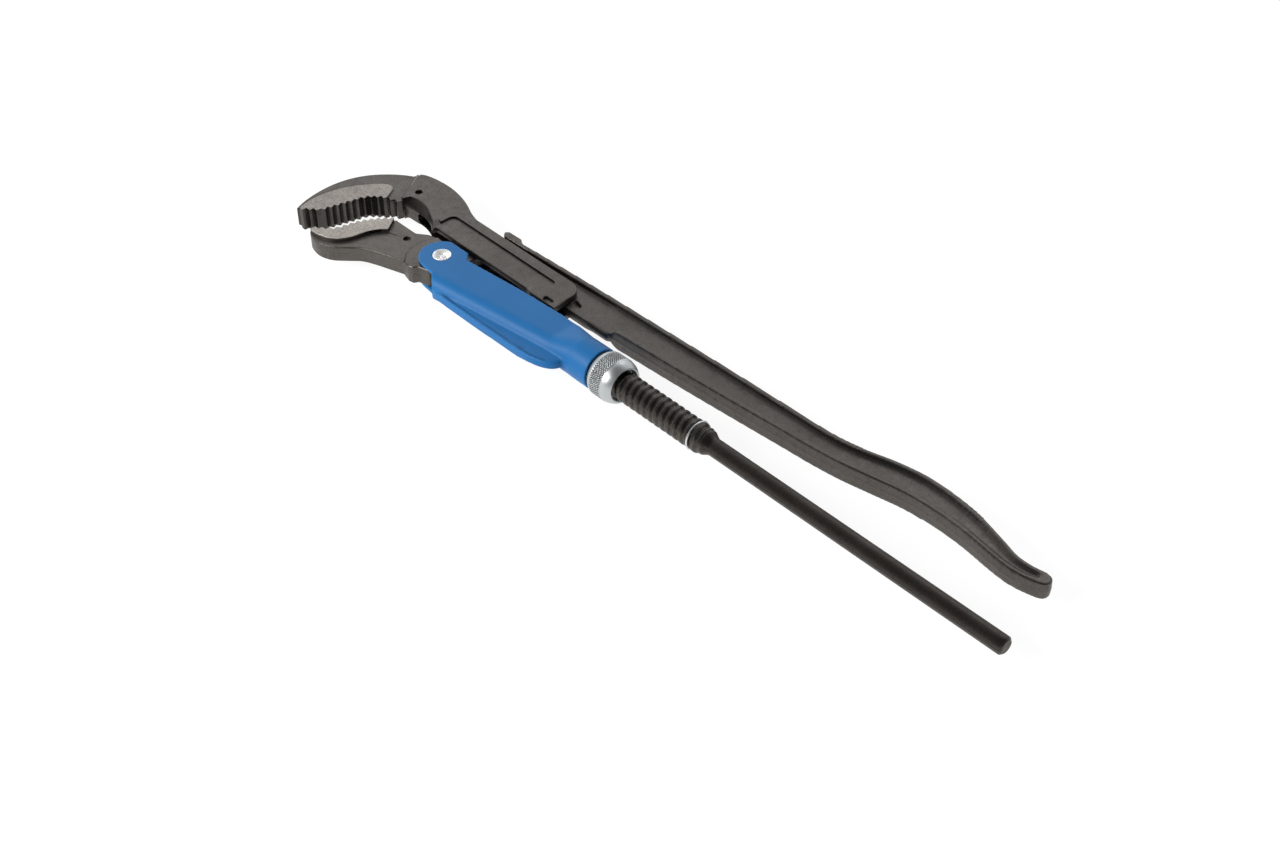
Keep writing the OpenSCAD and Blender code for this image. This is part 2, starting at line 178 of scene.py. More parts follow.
def make_world():
    """A studio surround: pale behind and overhead, dim towards the camera and below."""
    world = bpy.data.worlds.new("world")
    world.use_nodes = True
    tree = world.node_tree
    coords = node(tree, "ShaderNodeTexCoord").outputs["Generated"]
    dot = node(tree, "ShaderNodeVectorMath", operation="DOT_PRODUCT")
    dot.inputs[1].default_value = TO_CAMERA
    tree.links.new(coords, dot.inputs[0])
    front = smooth_range(tree, dot.outputs["Value"], (-0.15, 0.65), (0.95, 0.13))
    height = node(tree, "ShaderNodeSeparateXYZ")
    tree.links.new(coords, height.inputs[0])
    below = smooth_range(tree, height.outputs["Z"], (-0.12, 0.12), (0.5, 1.0))
    background = tree.nodes["Background"]
    background.inputs["Color"].default_value = (0.97, 0.985, 1.0, 1)
    strength = math_node(tree, "MULTIPLY", front, below)
    tree.links.new(strength, background.inputs["Strength"])
    scene.world = world


def make_floor():
    mesh = bpy.data.meshes.new("floor")
    size = FLOOR_SIZE
    corners = [(-size, -size, 0), (size, -size, 0), (size, size, 0), (-size, size, 0)]
    mesh.from_pydata(corners, [], [(0, 1, 2, 3)])
    floor = bpy.data.objects.new("floor", mesh)
    scene.collection.objects.link(floor)
    mat = bpy.data.materials.new("floor_white")
    mat.use_nodes = True
    bsdf = mat.node_tree.nodes["Principled BSDF"]
    bsdf.inputs["Base Color"].default_value = (0.16, 0.16, 0.158, 1)
    bsdf.inputs["Roughness"].default_value = 1.0
    bsdf.inputs["Specular IOR Level"].default_value = 0.0
    bsdf.inputs["Emission Color"].default_value = (1.0, 1.0, 1.0, 1)
    bsdf.inputs["Emission Strength"].default_value = FLOOR_LIGHT
    mesh.materials.append(mat)


def area_light(name, place, target, size, power):
    """A soft box; place, target and size are in metres, power in watts."""
    data = bpy.data.lights.new(name, "AREA")
    data.shape = "RECTANGLE"
    data.size, data.size_y = size
    data.energy = power
    light = bpy.data.objects.new(name, data)
    light.location = place
    light.rotation_euler = (Vector(target) - Vector(place)).to_track_quat("-Z", "Y").to_euler()
    scene.collection.objects.link(light)
    return light


def make_lights():
    """The front box lights only the named pieces; two small boxes light everything."""
    front = area_light("front_box", (-0.5, -1.2, 0.85), (-0.05, 0, 0), (1.1, 0.6), 24)
    lit = bpy.data.collections.new("lit_by_front_box")
    for name in ("case_pressed", "adjusting_nut_knurled", "pivot_rivet_cupped",
                 "main_leg_forging", "floor"):
        lit.objects.link(bpy.data.objects[name])
    front.light_linking.receiver_collection = lit
    area_light("jaw_softbox", (-2.3, 1.25, 1.5), (-0.2, 0, 0), (0.9, 0.9), 3)
    area_light("bend_softbox", (-0.5, 1.4, 1.5), (0.15, 0, 0), (0.5, 0.7), 2)


# ---- materials ------------------------------------------------------------------------------
CREASE_SHADE = 0.12  # how much of the dark tone is left in a deep crease
WORN_GAIN = 2.1  # how much lighter than the light tone a worn edge is
PARTING_HEIGHT = 2.0  # the parting line's ramp runs this far from mid-thickness


def base_material(name, metallic, specular=0.5):
    mat = bpy.data.materials.new(name)
    mat.use_nodes = True
    tree = mat.node_tree
    bsdf = tree.nodes["Principled BSDF"]
    bsdf.inputs["Metallic"].default_value = metallic
    bsdf.inputs["Specular IOR Level"].default_value = specular
    coords = node(tree, "ShaderNodeTexCoord").outputs["Object"]
    return mat, tree, bsdf, coords


def add_bump(tree, bsdf, heights):
    """Chains bumps: each entry is (height socket, strength, distance in metres)."""
    normal = None
    for height, strength, distance in heights:
        bump = node(tree, "ShaderNodeBump")
        bump.inputs["Strength"].default_value = strength
        bump.inputs["Distance"].default_value = distance
        tree.links.new(height, bump.inputs["Height"])
        if normal is not None:
            tree.links.new(normal, bump.inputs["Normal"])
        normal = bump.outputs["Normal"]
    tree.links.new(normal, bsdf.inputs["Normal"])


def wear_mask(tree, coords):
    """Edge wear: the mesh's own edge attribute broken up by noise."""
    broken = ramp(tree, noise_node(tree, coords, 700, 3), [(0.35, 0.25), (0.7, 1.0)])
    return math_node(tree, "MULTIPLY", mesh_value(tree, "wear"), broken)


def parting_line(tree, coords, amount):
    """A faint raised line round the forging at mid-thickness, where its two dies met."""
    height = node(tree, "ShaderNodeSeparateXYZ")
    tree.links.new(coords, height.inputs[0])
    from_middle = math_node(tree, "SUBTRACT", height.outputs["Z"], ORIGIN.z)
    share = math_node(tree, "MULTIPLY", math_node(tree, "ABSOLUTE", from_middle),
                      1 / (PARTING_HEIGHT * MM))
    return math_node(tree, "MULTIPLY", ramp(tree, share, [(0.1, 1.0), (0.32, 0.0)]), amount)


def steel(name, dark, mid, light, rough, metallic, grain=1.0, speckle=0.0, parting=0.0):
    """Phosphated or ground forging: cloudy tone, fine grain, pits, lighter worn edges and painted
    shade in creases.
    """
    mat, tree, bsdf, coords = base_material(name, metallic, 0.4)
    cloud = noise_node(tree, coords, 45, 5, 0.6, 0.4)
    fine = noise_node(tree, coords, 900, 4, 0.7)
    coarse = noise_node(tree, coords, 260, 4, 0.65)
    tone = ramp(tree, cloud, [(0.25, dark), (0.5, mid), (0.8, light)])
    grit = ramp(tree, fine, [(0.3, 0.72 - 0.3 * speckle), (0.5, 1.0), (0.7, 1.22 + 0.5 * speckle)])
    color = mix_color(tree, 1.0, tone, grit, "MULTIPLY")
    pits = ramp(tree, coarse, [(0.25, 0.7), (0.4, 1.0)])
    color = mix_color(tree, 0.6, color, pits, "MULTIPLY")
    worn = tuple(min(1, WORN_GAIN * v) for v in light)
    color = mix_color(tree, wear_mask(tree, coords), color, worn)
    flash = parting_line(tree, coords, parting)
    color = mix_color(tree, math_node(tree, "MULTIPLY", flash, 0.35), color, light)
    # painted shade: concave creases darken towards a small share of the dark tone
    shade_tone = tuple(CREASE_SHADE * v for v in dark)
    color = mix_color(tree, mesh_value(tree, "painted_shade"), color, shade_tone)
    tree.links.new(color, bsdf.inputs["Base Color"])
    roughness = ramp(tree, coarse, [(0.3, rough[1]), (0.7, rough[0])])
    tree.links.new(roughness, bsdf.inputs["Roughness"])
    add_bump(tree, bsdf, [(coarse, 0.3 * grain, 0.0003), (fine, 0.35 * grain, 0.0001),
                          (flash, 0.5, 0.0003)])
    return mat


def blue_paint():
    """Satin powder coat: light orange peel, slight tone drift, brighter worn edges and painted
    shade in creases.
    """
    mat, tree, bsdf, coords = base_material("case_blue_coat", 0.0, 0.2)
    cloud = noise_node(tree, coords, 30, 3)
    peel = noise_node(tree, coords, 420, 2, 0.4)
    fine = noise_node(tree, coords, 1500, 2)
    tone = ramp(tree, cloud, [(0.3, (0.010, 0.125, 0.345)), (0.7, (0.013, 0.140, 0.375))])
    wear = math_node(tree, "MULTIPLY", wear_mask(tree, coords), 0.5)
    color = mix_color(tree, wear, tone, (0.06, 0.26, 0.54))
    # painted shade: creases and the rib's fold line darken towards deep blue
    crease_shade_share = math_node(tree, "MULTIPLY", mesh_value(tree, "painted_shade"), 0.75)
    color = mix_color(tree, crease_shade_share, color, (0.002, 0.03, 0.10))
    tree.links.new(color, bsdf.inputs["Base Color"])
    tree.links.new(ramp(tree, fine, [(0.3, 0.38), (0.7, 0.46)]), bsdf.inputs["Roughness"])
    add_bump(tree, bsdf, [(peel, 0.12, 0.0002), (fine, 0.08, 0.00005)])
    return mat


def plated(name, dark, light, rough, stretch, metallic=0.9, turned=1.0):
    """Zinc-plated or turned steel: cloudy plating, fine tool marks stretched as given, and painted
    shade in grooves and gaps.
    """
    mat, tree, bsdf, coords = base_material(name, metallic, 0.5)
    mapping = node(tree, "ShaderNodeMapping")
    mapping.inputs["Scale"].default_value = stretch
    tree.links.new(coords, mapping.inputs["Vector"])
    marks = noise_node(tree, mapping.outputs["Vector"], 1.0, 3, 0.6)
    cloud = noise_node(tree, coords, 140, 4, 0.6)
    tone = ramp(tree, cloud, [(0.3, dark), (0.7, light)])
    # painted shade: grooves and gaps darken towards a small share of the dark tone
    shade_tone = tuple(CREASE_SHADE * v for v in dark)
    tone = mix_color(tree, mesh_value(tree, "painted_shade"), tone, shade_tone)
    lines = ramp(tree, marks, [(0.3, 1.0 - 0.22 * turned), (0.7, 1.0)])
    color = mix_color(tree, 1.0, tone, lines, "MULTIPLY")
    tree.links.new(color, bsdf.inputs["Base Color"])
    roughness = ramp(tree, cloud, [(0.3, rough[0]), (0.7, rough[1])])
    tree.links.new(roughness, bsdf.inputs["Roughness"])
    add_bump(tree, bsdf, [(marks, 0.15 * turned, 0.00005), (cloud, 0.02, 0.0001)])
    return mat


FORGED_TONES = ((0.098, 0.088, 0.080), (0.112, 0.101, 0.092), (0.128, 0.116, 0.106))
FORGED = steel("forged_phosphate", *FORGED_TONES, (0.36, 0.48), 0.9, parting=1.0)
BEAM = steel("forged_beam", *FORGED_TONES, (0.36, 0.48), 0.9)
# a darker copy of the forged steel: painted shade on the legs' shaded slopes; the bar past the
# thread is dark all over in it too
DARK = steel("forged_dark", (0.047, 0.040, 0.035), (0.056, 0.048, 0.042), (0.070, 0.060, 0.053),
             (0.34, 0.48), 0.8, parting=1.0)
GROUND = steel("ground_flat", (0.33, 0.30, 0.272), (0.38, 0.345, 0.315), (0.43, 0.392, 0.358),
               (0.45, 0.6), 0.8, grain=0.6, speckle=0.5)
# near-black steel for the sunk panel's walls: painted shade
PANEL_SHADE = steel("panel_wall_shade", (0.014, 0.0125, 0.011), (0.018, 0.016, 0.0145),
               (0.024, 0.021, 0.019), (0.5, 0.65), 0.6, grain=0.5)
TEETH = steel("tooth_steel", (0.040, 0.036, 0.032), (0.065, 0.059, 0.054), (0.10, 0.092, 0.084),
              (0.2, 0.3), 1.0, grain=0.5)
THREAD = steel("thread_oiled", (0.045, 0.040, 0.036), (0.065, 0.058, 0.052),
               (0.095, 0.086, 0.078), (0.28, 0.44), 0.8, grain=0.6)
BLUE = blue_paint()
ZINC = plated("zinc_plate", (0.50, 0.52, 0.525), (0.54, 0.56, 0.565), (0.36, 0.42),
              (6000, 30, 30), turned=0.1)
# near-white and mostly diffuse: the rivet's whiteness is a painted reflection of the pale surround
RIVET_SHEEN = plated("rivet_painted_sheen", (0.86, 0.86, 0.85), (0.93, 0.93, 0.92), (0.22, 0.3),
                (300, 300, 300), metallic=0.35, turned=0.1)
WIRE = plated("spring_wire", (0.66, 0.68, 0.70), (0.86, 0.88, 0.90), (0.2, 0.3),
              (400, 400, 400), turned=0.4)


# ---- mesh helpers ---------------------------------------------------------------------------
# Vertices closer than these, in metres, are joined.
NODE_WELD, FORGING_WELD, NUT_WELD, RIVET_WELD = 2e-6, 2e-5, 3e-6, 1e-6


def add_object(name, mesh, body, materials, nodes):
    """A finished piece; the materials are used where the mesh has none of its own."""
    obj = bpy.data.objects.new(name, mesh)
    scene.collection.objects.link(obj)
    if not mesh.materials:
        for material in materials:
            mesh.materials.append(material)
    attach(obj, body)
    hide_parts(*nodes)


def helper(data):
    obj = bpy.data.objects.new("helper", data)
    scene.collection.objects.link(obj)
    return obj


def applied(obj):
    """The object's mesh with its modifiers applied; the object itself is removed."""
    bpy.context.view_layer.update()
    depsgraph = bpy.context.evaluated_depsgraph_get()
    made = bpy.data.meshes.new_from_object(obj.evaluated_get(depsgraph))
    bpy.data.objects.remove(obj)
    return made


def add_modifier(obj, kind, **settings):
    modifier = obj.modifiers.new(kind.lower(), kind)
    for key, value in settings.items():
        setattr(modifier, key, value)


def mesh_from(name, verts, faces):
    mesh = bpy.data.meshes.new(name)
    mesh.from_pydata(verts, [], faces)
    mesh.update()
    return mesh


def faced_outward(mesh, weld=0.0):
    """The mesh with its faces turned outward, and vertices closer than weld (metres) joined."""
    bm = bmesh.new()
    bm.from_mesh(mesh)
    if weld:
        bmesh.ops.remove_doubles(bm, verts=bm.verts, dist=weld)
        bmesh.ops.dissolve_degenerate(bm, edges=bm.edges, dist=weld / 10)
    bmesh.ops.recalc_face_normals(bm, faces=bm.faces)
    bm.to_mesh(mesh)
    bm.free()
    return mesh


def cleaned(name, cad_node):
    """A welded copy of a CAD node's mesh."""
    bm = bmesh.new()
    bm.from_mesh(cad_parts[cad_node].data)
    bmesh.ops.remove_doubles(bm, verts=bm.verts, dist=NODE_WELD)
    mesh = bpy.data.meshes.new(name)
    bm.to_mesh(mesh)
    bm.free()
    return mesh


def combined(mesh, others, operation):
    """The mesh joined with or cut by other meshes."""
    base = helper(mesh)
    tools = [helper(other) for other in others]
    for tool in tools:
        add_modifier(base, "BOOLEAN", operation=operation, solver="EXACT", object=tool)
    made = applied(base)
    for tool in tools:
        bpy.data.objects.remove(tool)
    return made


def united(name, cad_nodes):
    """One welded solid from several CAD nodes of one forging."""
    first, *others = [cleaned(name, cad_node) for cad_node in cad_nodes]
    return combined(first, others, "UNION")


def cut_by(mesh, outline, places):
    """The mesh less a prism on each face of the tool, given by its (x, z) outline and y range."""
    count = len(outline)
    faces = [tuple(range(count)), tuple(range(2 * count - 1, count - 1, -1))]
    faces += [(i, (i + 1) % count, (i + 1) % count + count, i + count) for i in range(count)]
    cutters = []
    for side in (1, -1):
        verts = [at(x, y, side * z) for y in places for x, z in outline]
        cutters.append(faced_outward(mesh_from("cutter", verts, faces)))
    return combined(mesh, cutters, "DIFFERENCE")


FLAT_BEND = math.radians(1.2)  # faces that meet at less count as one
SHARP_BEND = math.radians(22)  # edges that bend more are rounded


def merged_faces(mesh):
    """Joins coplanar triangles into large faces, so that edges can be rounded cleanly."""
    bm = bmesh.new()
    bm.from_mesh(mesh)
    bmesh.ops.remove_doubles(bm, verts=bm.verts, dist=FORGING_WELD)
    bmesh.ops.dissolve_limit(bm, angle_limit=FLAT_BEND, use_dissolve_boundaries=False,
                             verts=bm.verts, edges=bm.edges)
    bmesh.ops.recalc_face_normals(bm, faces=bm.faces)
    return bm


WIDEST_ROUNDING = 3.0
STRAY = 0.1  # a vertex this far outside the shape is put back on it


def rounded(name, bm, width_of):
    """Rounds each sharp edge by width_of(middle, direction, signed angle)."""
    mesh = bpy.data.meshes.new(name)
    weights = []
    before = BVHTree.FromBMesh(bm)
    bm.edges.ensure_lookup_table()
    bm.normal_update()
    for edge in bm.edges:
        weight = 0.0
        if len(edge.link_faces) == 2:
            angle = edge.calc_face_angle_signed(0)
            if abs(angle) > SHARP_BEND:
                a, b = (to_tool(v.co) for v in edge.verts)
                weight = width_of((a + b) / 2, (b - a).normalized(), angle) / WIDEST_ROUNDING
        weights.append(weight)
    bm.to_mesh(mesh)
    bm.free()
    attribute = mesh.attributes.new("bevel_weight_edge", "FLOAT", "EDGE")
    attribute.data.foreach_set("value", weights)
    obj = helper(mesh)
    add_modifier(obj, "BEVEL", width=WIDEST_ROUNDING * MM, segments=3, limit_method="WEIGHT",
                 use_clamp_overlap=False, miter_outer="MITER_ARC", loop_slide=True)
    made = applied(obj)
    for v in made.vertices:
        nearest, normal, _, _ = before.find_nearest(v.co)
        if (v.co - nearest).dot(normal) > STRAY * MM:
            v.co = nearest
    return made


def softened(mesh, weight_of, iterations):
    """Smooths the mesh where weight_of(x, y, z), in the tool's axes, is above 0."""
    obj = helper(mesh)
    group = obj.vertex_groups.new(name="soft")
    for v in mesh.vertices:
        weight = weight_of(*to_tool(v.co))
        if weight > 0:
            group.add([v.index], min(1.0, weight), "REPLACE")
    add_modifier(obj, "SMOOTH", factor=0.5, iterations=iterations, vertex_group="soft")
    return applied(obj)


def remeshed(mesh, voxel, iterations):
    """A soft forged or pressed form: an even mesh with its edges smoothed."""
    obj = helper(mesh)
    add_modifier(obj, "REMESH", mode="VOXEL", voxel_size=voxel * MM)
    add_modifier(obj, "SMOOTH", factor=0.5, iterations=iterations)
    return applied(obj)


def reduced(mesh, ratio):
    obj = helper(mesh)
    add_modifier(obj, "DECIMATE", ratio=ratio)
    return applied(obj)


def shade(mesh, degrees):
    mesh.shade_smooth()
    mesh.set_sharp_from_angle(angle=math.radians(degrees))


def flat_shaded(mesh):
    """Normals weighted by face area, so that flat faces between rounded edges stay flat."""
    obj = helper(mesh)
    add_modifier(obj, "WEIGHTED_NORMAL", keep_sharp=True)
    return applied(obj)


LARGE_FACE = 6e-6  # square metres; wear at its corners would run right across such a face
WORN_BEND, WEAR_RATE = 0.12, 1.6  # the bend in radians where wear starts, and its growth
CREASE_BEND = 0.06  # the inward bend in radians where a crease starts


def spread_out(values, around):
    """Each vertex keeps its value or takes part of its neighbours' mean, whichever is more."""
    return [max(own, 0.7 * sum(values[n] for n in beside) / max(1, len(beside)))
            for own, beside in zip(values, around)]


def set_wear_and_shade(mesh, gain, shade_gain=0.0):
    """Writes two attributes of each vertex: wear on convex edges, painted shade in concave
    creases.
    """
    bm = bmesh.new()
    bm.from_mesh(mesh)
    bm.normal_update()
    wear = [0.0] * len(bm.verts)
    painted_shade = [0.0] * len(bm.verts)
    around = [[e.other_vert(v).index for e in v.link_edges] for v in bm.verts]
    on_large = [any(f.calc_area() > LARGE_FACE for f in v.link_faces) for v in bm.verts]
    for v in bm.verts:
        bends = [e.calc_face_angle_signed(0) for e in v.link_edges if len(e.link_faces) == 2]
        most, least = max(bends, default=0), min(bends, default=0)
        wear[v.index] = max(0.0, min(1.0, gain * (most - WORN_BEND) * WEAR_RATE))
        # painted shade grows with the inward bend of the vertex's edges
        painted_shade[v.index] = max(0.0, min(1.0, -shade_gain * (least + CREASE_BEND)))
    bm.free()
    for name, values in (("wear", wear), ("painted_shade", painted_shade)):
        values = spread_out(values, around)
        values = [0.0 if large else value for value, large in zip(values, on_large)]
        attribute = mesh.attributes.get(name) or mesh.attributes.new(name, "FLOAT", "POINT")
        attribute.data.foreach_set("value", values)


# ---- the two forged legs --------------------------------------------------------------------
PIVOT = Vector((0, -3.5))
LOWER_DENT, HOOK_DENT = Vector((-33, -5.7)), Vector((-66, 30.2))
DENT_REACH = 3.6
TOOTH_Z = 7.5  # above this the shape belongs to the wide toothed parts or the arm's face
ARM_Z = to_tool(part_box("front_cheek")[1]).z
PANEL_Z = ARM_Z - 1.2


def near(x, y, centre, reach):
    return (Vector((x, y)) - centre).length < reach


def in_panel(x, y):
    """Over the long sunk panel of the hook leg's arm, or its rim."""
    return -31 < x < 71 and 20 < y < 31


def leg_width(middle, direction, angle):
    """Edge rounding of the main leg."""
    x, y, z = middle
    upright = abs(direction.z) > 0.9
    if x < -79 and y < -43:  # the jaw's thin tip
        return 0.0
    if near(x, y, LOWER_DENT, DENT_REACH):
        return 0.15
    if x < -51 and -45.4 + 0.9 * (x + 81) < y < 4:  # teeth
        return 0.1 if upright else 0.16
    if abs(z) > TOOTH_Z:
        return 0.3
    if x > 28:  # behind the eye, towards the beam
        if upright:
            return 0.0 if angle > 0 and y > 30 and x < 50 else 0.8
        return 1.7 if angle < 0 else 1.0
    if angle < 0:
        return 0.5
    if near(x, y, PIVOT, 5):  # the rivet's hole
        return 0.2
    return 0.9


def hook_width(middle, direction, angle):
    """Edge rounding of the hook leg."""
    x, y, z = middle
    high = abs(z)
    upright = abs(direction.z) > 0.9
    if high < 3.9 and not upright:  # the slot's edges
        return 0.3
    if -71.5 < x < -62 and 14 < y < 20.5 and high > 4:  # where the teeth end at the throat
        return 0.0
    if near(x, y, HOOK_DENT, DENT_REACH):
        return 0.15
    tooth_rim = x < -72 and high > TOOTH_Z and x > -104 + 0.5 * (y + 37)
    if x < -66 and y < 20 and (upright or tooth_rim):
        return 0.1 if upright else 0.16
    if angle < 0:
        return 0.35
    if high > TOOTH_Z and -87 < x < -66 and 18.5 < y < 44 and not upright \
            and abs(direction.x) < 0.7:  # the step from the jaw to the arm
        return 0.25
    if high > 6.5 and in_panel(x, y):
        return 0.15
    if high > TOOTH_Z and -27 < x < 56 and y < 15.5:  # the arm's heavily rounded lower edge
        return 3.4
    return 0.8


LEG_MATERIALS = (FORGED, GROUND, TEETH, PANEL_SHADE, DARK)


def is_panel_wall(x, y, high, nz):
    return nz < 0.95 and in_panel(x, y) and PANEL_Z - 0.1 < high < ARM_Z - 0.01


def is_shaded_edge(x, y, high, nz):
    """The throat's wide chamfer and the arm's heavily rounded lower edge, which get painted shade
    in the dark steel.
    """
    if -68 < x < -27 and 13 < y < 25 and 4 < high < ARM_Z and 0.15 < nz < 0.95:
        return True
    return -27 <= x < 58 and y < 18 and high > 4 and 0.1 < nz < 0.97


def main_leg_material(x, y, high, nz):
    if x < -44 and high > 7.6:
        return GROUND
    if -82.5 < x < -50 and y > -45.6 + 0.9 * (x + 82) and nz < 0.6:
        return TEETH
    # painted shade on the lower jaw's sloping outer band
    if x < -8 and y < -20 and high > 4.2 and 0.25 < nz < 0.95:
        return DARK
    return FORGED


def hook_leg_material(x, y, high, nz):
    if x < -76 and high > 7.6:
        return GROUND
    if -107.2 < x < -66.5 and y < 19 and nz < 0.6:
        return TEETH
    # painted shade on the walls of the arm's sunk panel
    if is_panel_wall(x, y, high, nz):
        return PANEL_SHADE
    # painted shade on the throat's chamfer and the arm's rounded lower edge
    if is_shaded_edge(x, y, high, nz):
        return DARK
    return FORGED


def finished_leg(name, mesh, body, nodes, material_of):
    """Paints each face by material_of(x, y, height from mid-thickness, upward share of normal)."""
    mesh.materials.clear()
    for material in LEG_MATERIALS:
        mesh.materials.append(material)
    for polygon in mesh.polygons:
        x, y, z = to_tool(polygon.center)
        material = material_of(x, y, abs(z), abs(polygon.normal.z))
        polygon.material_index = LEG_MATERIALS.index(material)
    set_wear_and_shade(mesh, 0.6, 1.3)
    shade(mesh, 35)
    add_object(name, flat_shaded(mesh), body, [], nodes)


WEB_Z = 3.3  # half the thickness of the beam's web


def shape_beam(mesh):
    """Lets the beam's lower flange rise gently out of its web, and adds a low flash line."""
    mesh.update()
    normals = [v.normal.copy() for v in mesh.vertices]
    for v, normal in zip(mesh.vertices, normals):
        x, y, z = to_tool(v.co)
        if x < 134 and y < 32 and abs(z) > WEB_Z:
            rise = 1 - (1 - smooth_step((x - 123.8) / 8.0)) ** 1.5
            z = math.copysign(WEB_Z + (abs(z) - WEB_Z) * rise, z)
        if abs(normal.z) < 0.5 and x > 40:
            lift = 0.15 * math.exp(-((z / 1.1) ** 2))
            x, y = x + lift * normal.x, y + lift * normal.y
        v.co = at(x, y, z)


def web_share(x, y, z):
    """1 over the web's pocket behind the arm, where the forging is smoothed most."""
    return smooth_step((5.8 - abs(z)) / 1.4) * smooth_step((x - 105) / 8)


def make_main_leg():
    nodes = ["lower_jaw", "pivot_eye"]
    main = rounded("main_leg", merged_faces(united("main", nodes)), leg_width)
    finished_leg("main_leg_forging", main, "main_leg", nodes, main_leg_material)


def make_beam():
    beam = remeshed(cleaned("beam", "beam_handle"), 0.55, 10)
    beam = softened(beam, web_share, 70)
    shape_beam(beam)
    beam = reduced(beam, 0.5)
    beam.materials.clear()
    set_wear_and_shade(beam, 0.2)
    shade(beam, 60)
    add_object("beam_forging", beam, "main_leg", [BEAM], ["beam_handle"])


def make_hook_leg():
    """The rail below the arm's panel is cut down to the panel's floor, with sloping ends."""
    nodes = ["hook_jaw", "front_cheek", "rear_cheek", "shank_neck"]
    rail = [(-44, 20), (-44, ARM_Z), (-34, ARM_Z), (-28, PANEL_Z), (60, PANEL_Z),
            (66, ARM_Z), (74, ARM_Z), (74, 20)]
    hook = cut_by(united("hook", nodes), rail, (9, 19.6))
    hook = rounded("hook_leg", merged_faces(hook), hook_width)
    finished_leg("hook_leg_forging", hook, "hook_leg", nodes, hook_leg_material)


make_main_leg()
make_beam()
make_hook_leg()


# ---- threaded shank, bar and stop ring ------------------------------------------------------
PITCH, CREST, ROOT, BAR = 5.1, 9.0, 7.5, 5.5  # pitch, then three radii
THREAD_FROM, THREAD_TO, RUN_OUT_END = 92.0, 232.5, 239.0
CREST_AT = 174.36  # a crest's place along the bar, on its +y side
FLAT_END, FLAT_Z = 166.0, 6.35
OILED_TO = 234.0
RING_X, RING_GROOVE = 224.5, 0.9
BAR_PLACES = (240, 260, 290, 330, 370, 410, 440, 444.4, 444.75, 445.2, 445.65, 446)
BAR_CHAMFER_FROM = 444.6
SHANK_STEPS = 72


def thread_radius(x, turn):
    """Radius of the right-hand thread with rounded crests, running out into a cone and the bar."""
    phase = ((x - CREST_AT) / PITCH - turn / (2 * math.pi)) % 1.0
    wave = smooth_step(0.5 + 0.78 * math.cos(2 * math.pi * phase))
    fade = min(1.0, max(0.0, (THREAD_TO - x) / 4.0))
    radius = ROOT + (CREST - ROOT) * wave * fade
    if x > THREAD_TO - 2:
        t = min(1.0, (x - THREAD_TO + 2) / 8.0)
        cone = CREST - 0.6 + (BAR - CREST + 0.6) * smooth_step(t)
        radius = min(radius, cone) if t < 0.3 else cone
    if abs(x - RING_X) < RING_GROOVE:
        radius = min(radius, CREST - 0.7)
    return radius


def shank_radius(x, turn):
    if x < RUN_OUT_END:
        return thread_radius(x, turn)
    return min(BAR, BAR - (x - BAR_CHAMFER_FROM))


def make_shank():
    """The thread with its two flats, and the bar, as one skin of rings of vertices."""
    xs, x = [], THREAD_FROM
    while x < RUN_OUT_END:
        xs.append(x)
        x += PITCH / 14
    xs += BAR_PLACES
    steps = SHANK_STEPS
    verts, faces = [], []
    for x in xs:
        for i in range(steps):
            turn = 2 * math.pi * i / steps
            radius = shank_radius(x, turn)
            y, z = radius * math.cos(turn), radius * math.sin(turn)
            if x < FLAT_END:
                z = max(-FLAT_Z, min(FLAT_Z, z))
            verts.append(at(x, y, z))
    for k in range(len(xs) - 1):
        for i in range(steps):
            j = (i + 1) % steps
            faces.append((k * steps + i, k * steps + j, (k + 1) * steps + j, (k + 1) * steps + i))
    faces.append(tuple(range(steps)))
    faces.append(tuple((len(xs) - 1) * steps + i for i in reversed(range(steps))))
    mesh = faced_outward(mesh_from("shank", verts, faces))
    mesh.materials.append(DARK)
    mesh.materials.append(THREAD)
    for polygon in mesh.polygons:
        polygon.material_index = 1 if to_tool(polygon.center).x < OILED_TO else 0
    set_wear_and_shade(mesh, 0.8)
    shade(mesh, 40)
    add_object("threaded_bar", mesh, "hook_leg", [],
               ["threaded_shank", "bar_handle"])


def make_stop_ring(mean_radius=9.0, wire_radius=0.62, gap=14, gap_at=250, count=72):
    """An open wire ring; its gap and the gap's place are in degrees round the bar."""
    curve = bpy.data.curves.new("stop_ring_wire", "CURVE")
    curve.dimensions = "3D"
    curve.bevel_depth = wire_radius * MM
    curve.bevel_resolution = 4
    curve.use_fill_caps = True
    spline = curve.splines.new("POLY")
    spline.points.add(count)
    for i in range(count + 1):
        turn = math.radians(gap_at + gap / 2 + (360 - gap) * i / count)
        place = at(RING_X, mean_radius * math.cos(turn), mean_radius * math.sin(turn))
        spline.points[i].co = (*place, 1)
    mesh = applied(helper(curve))
    mesh.materials.clear()
    shade(mesh, 60)
    set_wear_and_shade(mesh, 0.0)
    add_object("stop_ring_wire", mesh, "hook_leg", [WIRE], ["stop_ring"])


make_shank()
make_stop_ring()


# ---- adjusting nut --------------------------------------------------------------------------
NUT_FRONT, NUT_REAR, NUT_R = 144.0, 164.0, 14.4
NUT_CHAMFER = 2.6
NUT_STEPS = 480
KNURL_FROM, KNURL_TO = 148.4, 157.3
KNURLS, KNURL_DEPTH = 56, 0.5
NECK_FRONT, NECK_R, BORE_R = 135, 10.9, 9.06
GROOVE_FROM, GROOVE_TO, GROOVE_R = 138.25, 139.75, 10.3  # for the snap ring


